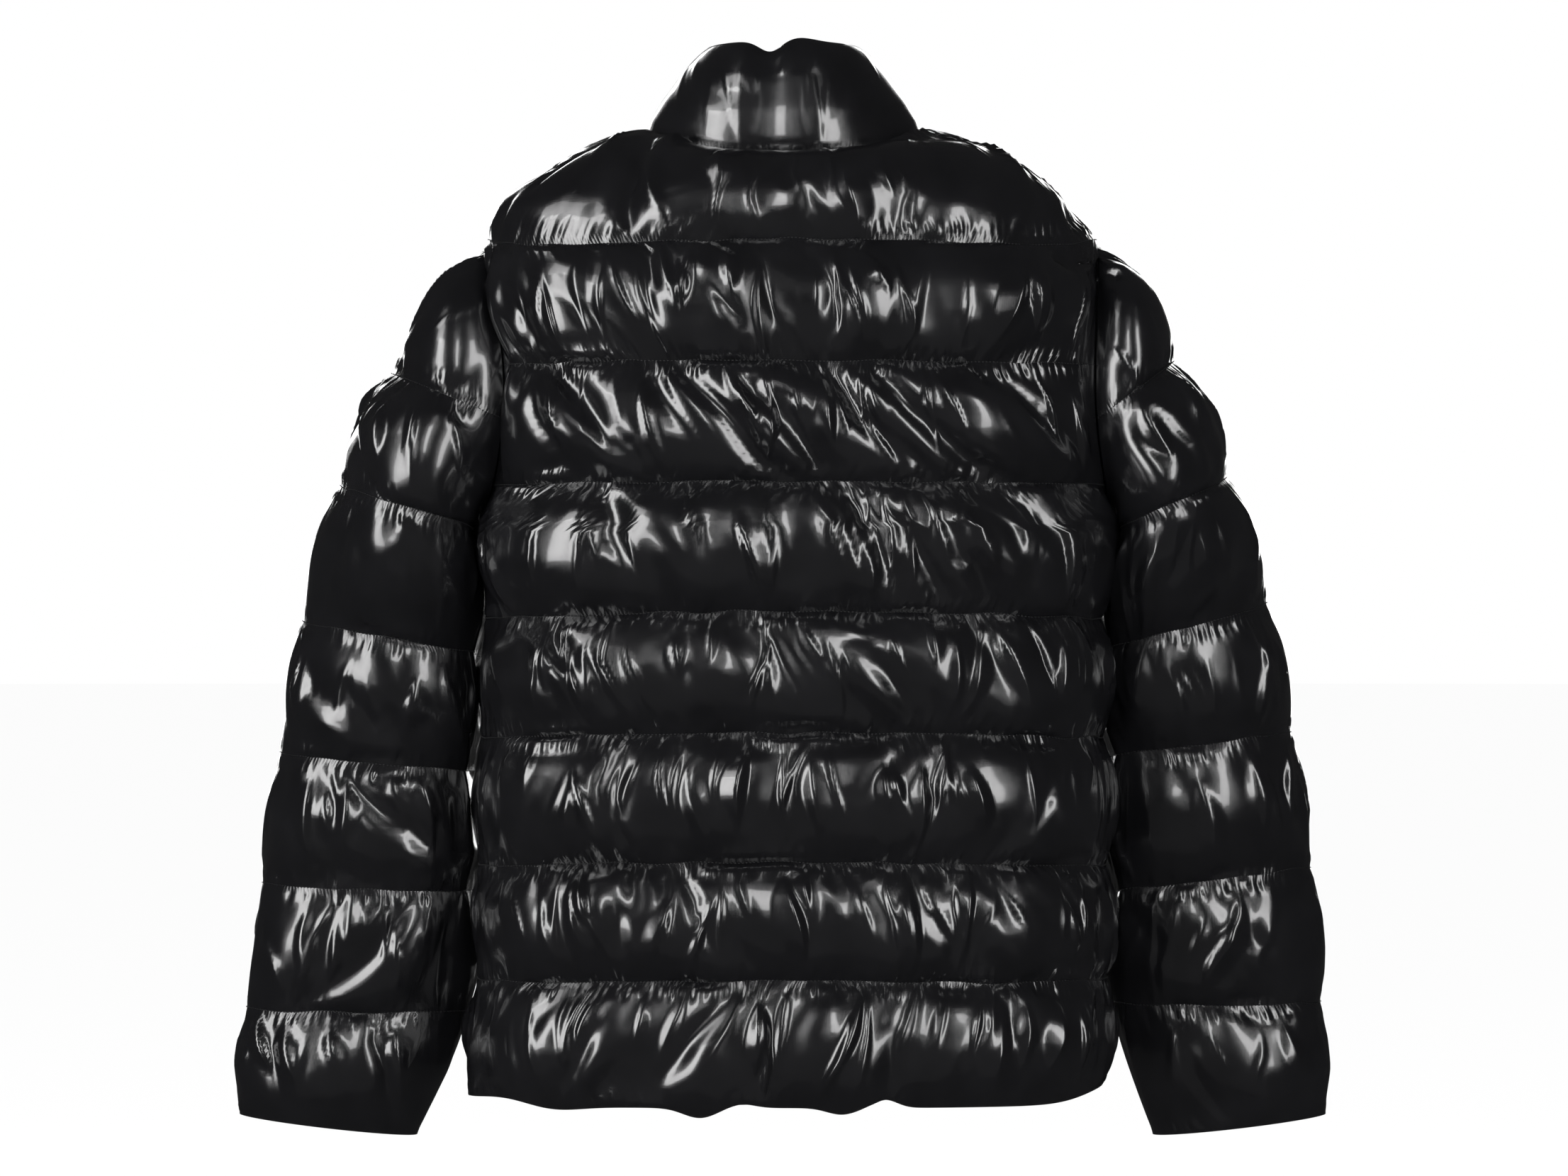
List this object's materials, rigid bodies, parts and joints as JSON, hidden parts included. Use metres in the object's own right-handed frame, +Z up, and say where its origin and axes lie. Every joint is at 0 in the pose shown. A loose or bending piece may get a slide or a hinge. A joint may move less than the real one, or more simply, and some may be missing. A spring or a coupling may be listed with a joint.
{
  "type": "puffer jacket",
  "caption": "Quilted, padded jacket with a stand collar, two sleeves and a closed front zip, in its worn hollow form.",
  "frame": {"origin": "middle of the neck opening, level with the points where the shoulder seams meet the collar, where the wearer's shoulders carry the jacket", "axes": "+Z up along the wearer's spine, +X towards the wearer's left arm, -Y out of the front zip"},
  "size_m": [0.8143, 0.2984, 0.8025],
  "materials": {
    "shell": "glossy coated nylon",
    "zip_tape": "woven, matt",
    "zip_metal": "satin black"
  },
  "bodies": {
    "jacket": {"back": "shell", "front_left": "shell", "front_right": "shell", "sleeve_left": "shell", "sleeve_right": "shell", "collar": "shell", "zip_tape_left": "zip_tape", "zip_tape_right": "zip_tape", "zip_slider": "zip_metal"},
    "pull": {"zip_pull": "zip_metal"}
  },
  "joints": [
    {"name": "pull_swing", "type": "hinge", "parent": "jacket", "child": "pull", "pos_m": [0, -0.09977, 0.02248], "axis": [-1, 0, 0], "range_deg": [0, 165]}
  ]
}
